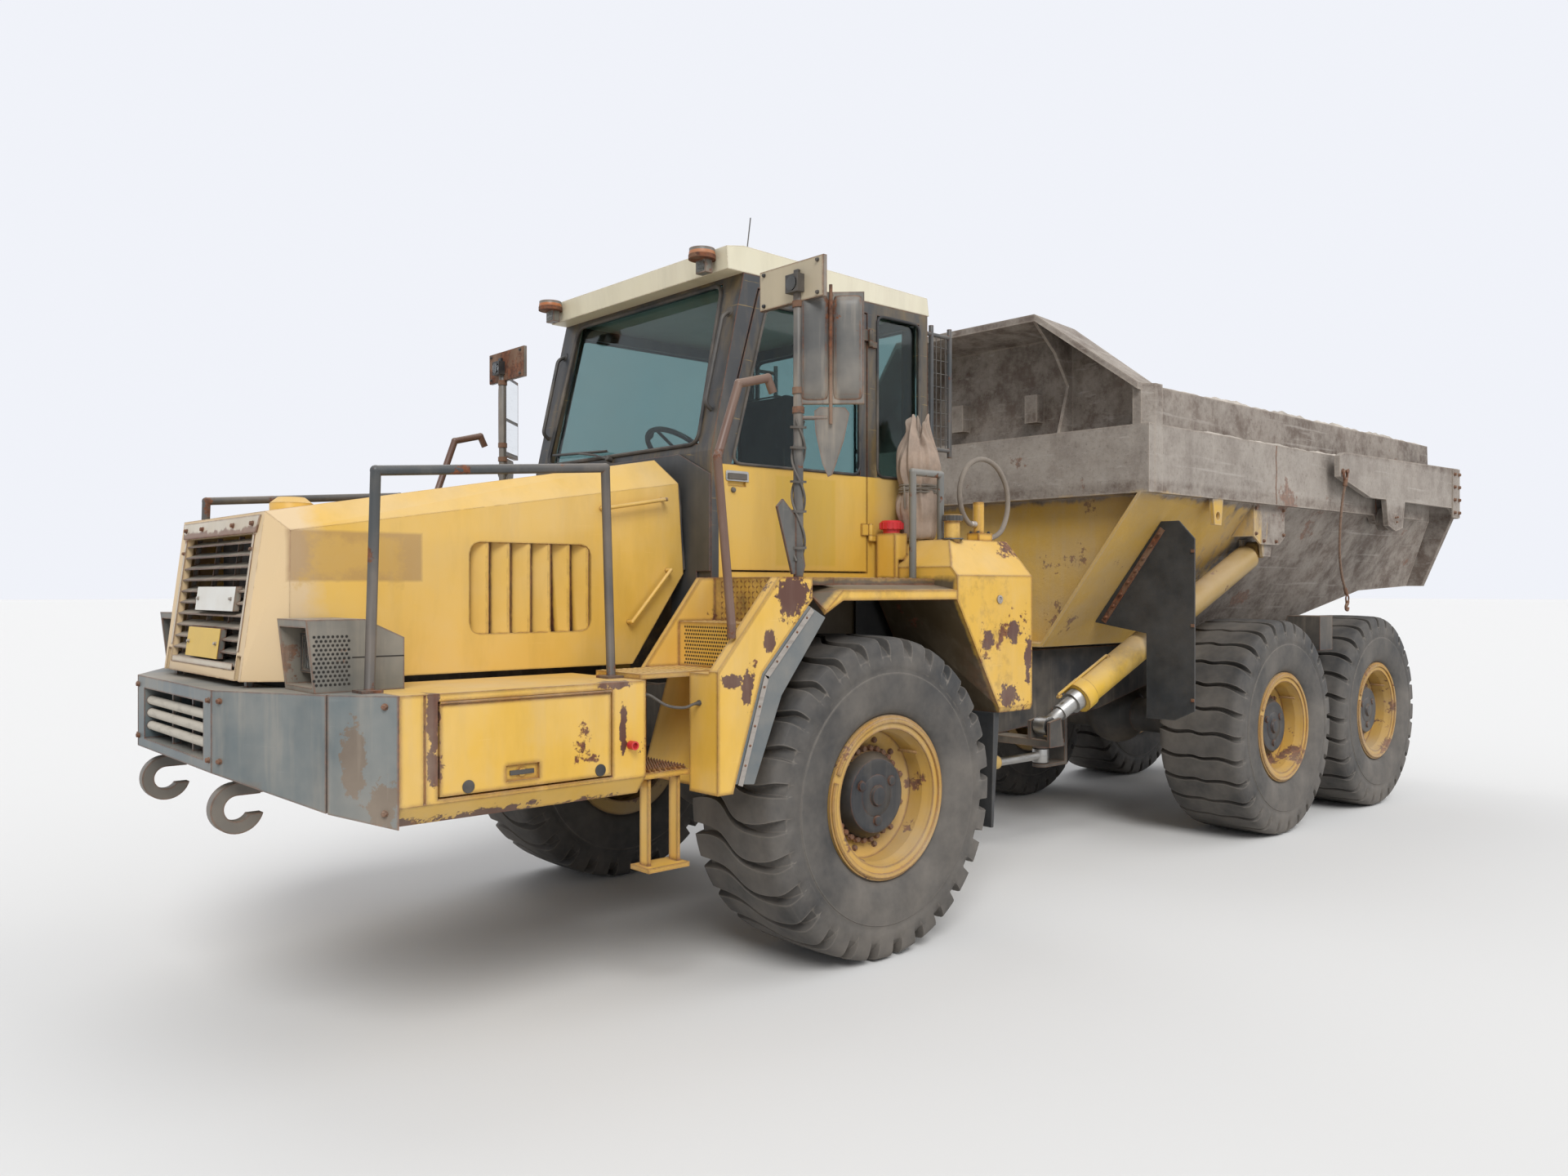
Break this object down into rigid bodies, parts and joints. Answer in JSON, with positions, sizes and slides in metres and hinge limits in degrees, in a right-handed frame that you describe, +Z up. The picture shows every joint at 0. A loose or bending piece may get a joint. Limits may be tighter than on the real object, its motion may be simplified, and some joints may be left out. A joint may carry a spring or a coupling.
{
  "type": "articulated dump truck",
  "caption": "Six-wheel articulated dump truck with a tipping body, a lifting gate on cables, a tilting hood and a cab door, standing straight with the body down",
  "frame": {"origin": "on the ground below the middle of the machine's overall length, on its centreline, with the machine standing straight and the body down", "axes": "+X forward, +Y to the machine's left, +Z up"},
  "size_m": [10.32, 3.074, 3.5184],
  "materials": {
    "frame_paint": "satin dark grey paint, dusty and chipped",
    "yellow_paint": "faded yellow machine paint with rust and scuffs",
    "cream_paint": "chalky cream paint",
    "grey_paint": "worn grey paint over rust",
    "lamp_grey": "dull grey paint with rust",
    "worn_body_steel": "paint worn to rusty steel, mud crust",
    "engine_iron": "oily cast iron",
    "chromed_steel": "ground and chromed, dusty",
    "wire_rope": "galvanised wire rope, rusting",
    "rubber_sheet": "black rubber sheet, dusty",
    "tyre": "worn black rubber with mud",
    "cab_glass": "lightly tinted glass, dusty",
    "cab_trim": "black cab trim"
  },
  "bodies": {
    "front_unit": {"front_frame": "frame_paint", "front_axle": "frame_paint", "engine_block": "engine_iron", "radiator": "frame_paint", "bumper": "grey_paint", "side_boxes": "yellow_paint", "mudguards": "yellow_paint", "arch_strips": "grey_paint", "access_steps": "yellow_paint", "rear_boxes": "yellow_paint", "front_flaps": "rubber_sheet", "lamps": "lamp_grey", "handrails": "grey_paint", "mirrors": "lamp_grey", "cowl": "frame_paint", "cab_shell": "yellow_paint", "cab_roof": "cream_paint", "cab_glass": "cab_glass", "cab_interior": "cab_trim"},
    "hood": {"hood": "yellow_paint", "grille": "frame_paint"},
    "door_left": {"door_left": "yellow_paint", "door_glass_left": "cab_glass"},
    "side_door_left": {"side_door_left": "yellow_paint"},
    "side_door_right": {"side_door_right": "yellow_paint"},
    "rear_unit": {"rear_frame": "frame_paint", "rear_axles": "frame_paint", "bogie_beams": "frame_paint"},
    "dump_body": {"dump_body": "worn_body_steel", "body_flaps": "rubber_sheet"},
    "tailgate": {"tailgate": "worn_body_steel"},
    "steer_barrel_left": {"steer_barrel_left": "yellow_paint"},
    "steer_rod_left": {"steer_rod_left": "chromed_steel"},
    "hoist_barrel_left": {"hoist_barrel_left": "yellow_paint"},
    "hoist_stage_left": {"hoist_stage_left": "chromed_steel"},
    "hoist_rod_left": {"hoist_rod_left": "yellow_paint"},
    "gate_cable_left": {"gate_cable_left": "wire_rope"},
    "wheel_front_left": {"rim_front_left": "yellow_paint", "tyre_front_left": "tyre"},
    "wheel_mid_left": {"rim_mid_left": "yellow_paint", "tyre_mid_left": "tyre"},
    "wheel_rear_left": {"rim_rear_left": "yellow_paint", "tyre_rear_left": "tyre"},
    "steer_barrel_right": {"steer_barrel_right": "yellow_paint"},
    "steer_rod_right": {"steer_rod_right": "chromed_steel"},
    "hoist_barrel_right": {"hoist_barrel_right": "yellow_paint"},
    "hoist_stage_right": {"hoist_stage_right": "chromed_steel"},
    "hoist_rod_right": {"hoist_rod_right": "yellow_paint"},
    "gate_cable_right": {"gate_cable_right": "wire_rope"},
    "wheel_front_right": {"rim_front_right": "yellow_paint", "tyre_front_right": "tyre"},
    "wheel_mid_right": {"rim_mid_right": "yellow_paint", "tyre_mid_right": "tyre"},
    "wheel_rear_right": {"rim_rear_right": "yellow_paint", "tyre_rear_right": "tyre"}
  },
  "joints": [
    {"name": "steering", "type": "hinge", "parent": "front_unit", "child": "rear_unit", "pos_m": [1.02, 0, 0.955], "axis": [0, 0, 1], "range_deg": [-45, 45]},
    {"name": "hood_lift", "type": "hinge", "parent": "front_unit", "child": "hood", "pos_m": [5.012, 0, 1.47], "axis": [0, 1, 0], "range_deg": [0, 60]},
    {"name": "cab_door", "type": "hinge", "parent": "front_unit", "child": "door_left", "pos_m": [1.984, 0.815, 2.5], "axis": [0, 0, 1], "range_deg": [0, 75]},
    {"name": "side_door_left_hinge", "type": "hinge", "parent": "front_unit", "child": "side_door_left", "pos_m": [4.24, 1.2032, 1.3432], "axis": [1, 0, 0], "range_deg": [0, 80]},
    {"name": "side_door_right_hinge", "type": "hinge", "parent": "front_unit", "child": "side_door_right", "pos_m": [4.24, -1.2032, 1.3432], "axis": [-1, 0, 0], "range_deg": [0, 80]},
    {"name": "dump", "type": "hinge", "parent": "rear_unit", "child": "dump_body", "pos_m": [-3.68, 0, 1.32], "axis": [0, -1, 0], "range_deg": [0, 70]},
    {"name": "gate", "type": "hinge", "parent": "dump_body", "child": "tailgate", "pos_m": [-3.69, 0, 2.32], "axis": [0, 1, 0], "range_deg": [0, 60]},
    {"name": "steer_barrel_left_pin", "type": "hinge", "parent": "front_unit", "child": "steer_barrel_left", "pos_m": [1.245, 0.39, 0.62], "axis": [0, 0, 1], "range_deg": [-40, 40]},
    {"name": "steer_rod_left_slide", "type": "slide", "parent": "steer_barrel_left", "child": "steer_rod_left", "axis": [-0.9999, 0.0148, 0], "range_m": [-0.292, 0.292]},
    {"name": "steer_barrel_right_pin", "type": "hinge", "parent": "front_unit", "child": "steer_barrel_right", "pos_m": [1.245, -0.39, 0.62], "axis": [0, 0, 1], "range_deg": [-40, 40]},
    {"name": "steer_rod_right_slide", "type": "slide", "parent": "steer_barrel_right", "child": "steer_rod_right", "axis": [-0.9999, -0.0148, 0], "range_m": [-0.292, 0.292]},
    {"name": "hoist_barrel_left_pin", "type": "hinge", "parent": "dump_body", "child": "hoist_barrel_left", "pos_m": [-1.78, 1.1, 2.03], "axis": [0.0727, 0.9974, 0], "range_deg": [0, 72.7]},
    {"name": "hoist_stage_left_slide", "type": "slide", "parent": "hoist_barrel_left", "child": "hoist_stage_left", "axis": [0.8631, -0.1584, -0.4795], "range_m": [0, 1.154]},
    {"name": "hoist_rod_left_slide", "type": "slide", "parent": "hoist_stage_left", "child": "hoist_rod_left", "axis": [0.8631, -0.1584, -0.4795], "range_m": [0, 1.154]},
    {"name": "gate_cable_left_eye", "type": "hinge", "parent": "tailgate", "child": "gate_cable_left", "pos_m": [-2.64, 1.392, 2.64], "axis": [0, -1, 0], "range_deg": [0, 54]},
    {"name": "wheel_front_left_spin", "type": "hinge", "parent": "front_unit", "child": "wheel_front_left", "pos_m": [2.42, 1.075, 0.765], "axis": [0, 1, 0], "continuous": true},
    {"name": "wheel_mid_left_spin", "type": "hinge", "parent": "rear_unit", "child": "wheel_mid_left", "pos_m": [-1.71, 1.075, 0.765], "axis": [0, 1, 0], "continuous": true},
    {"name": "wheel_rear_left_spin", "type": "hinge", "parent": "rear_unit", "child": "wheel_rear_left", "pos_m": [-3.369, 1.075, 0.765], "axis": [0, 1, 0], "continuous": true},
    {"name": "hoist_barrel_right_pin", "type": "hinge", "parent": "dump_body", "child": "hoist_barrel_right", "pos_m": [-1.78, -1.1, 2.03], "axis": [-0.0727, 0.9974, 0], "range_deg": [0, 72.7]},
    {"name": "hoist_stage_right_slide", "type": "slide", "parent": "hoist_barrel_right", "child": "hoist_stage_right", "axis": [0.8631, 0.1584, -0.4795], "range_m": [0, 1.154]},
    {"name": "hoist_rod_right_slide", "type": "slide", "parent": "hoist_stage_right", "child": "hoist_rod_right", "axis": [0.8631, 0.1584, -0.4795], "range_m": [0, 1.154]},
    {"name": "gate_cable_right_eye", "type": "hinge", "parent": "tailgate", "child": "gate_cable_right", "pos_m": [-2.64, -1.392, 2.64], "axis": [0, -1, 0], "range_deg": [0, 54]},
    {"name": "wheel_front_right_spin", "type": "hinge", "parent": "front_unit", "child": "wheel_front_right", "pos_m": [2.42, -1.075, 0.765], "axis": [0, 1, 0], "continuous": true},
    {"name": "wheel_mid_right_spin", "type": "hinge", "parent": "rear_unit", "child": "wheel_mid_right", "pos_m": [-1.71, -1.075, 0.765], "axis": [0, 1, 0], "continuous": true},
    {"name": "wheel_rear_right_spin", "type": "hinge", "parent": "rear_unit", "child": "wheel_rear_right", "pos_m": [-3.369, -1.075, 0.765], "axis": [0, 1, 0], "continuous": true}
  ],
  "couplings": [
    {"joint": "gate", "follows": "dump", "ratio": 0.847},
    {"joint": "steer_barrel_left_pin", "follows": "steering", "ratio": 0.8662},
    {"joint": "steer_rod_left_slide", "follows": "steering", "m_per_rad": 0.3683},
    {"joint": "steer_barrel_right_pin", "follows": "steering", "ratio": 0.8662},
    {"joint": "steer_rod_right_slide", "follows": "steering", "m_per_rad": -0.3683},
    {"joint": "hoist_barrel_left_pin", "follows": "dump", "ratio": 1.0372},
    {"joint": "hoist_stage_left_slide", "follows": "dump", "m_per_rad": 0.94397},
    {"joint": "hoist_rod_left_slide", "follows": "dump", "m_per_rad": 0.94397},
    {"joint": "gate_cable_left_eye", "follows": "dump", "ratio": 0.756},
    {"joint": "hoist_barrel_right_pin", "follows": "dump", "ratio": 1.0372},
    {"joint": "hoist_stage_right_slide", "follows": "dump", "m_per_rad": 0.94397},
    {"joint": "hoist_rod_right_slide", "follows": "dump", "m_per_rad": 0.94397},
    {"joint": "gate_cable_right_eye", "follows": "dump", "ratio": 0.756}
  ]
}
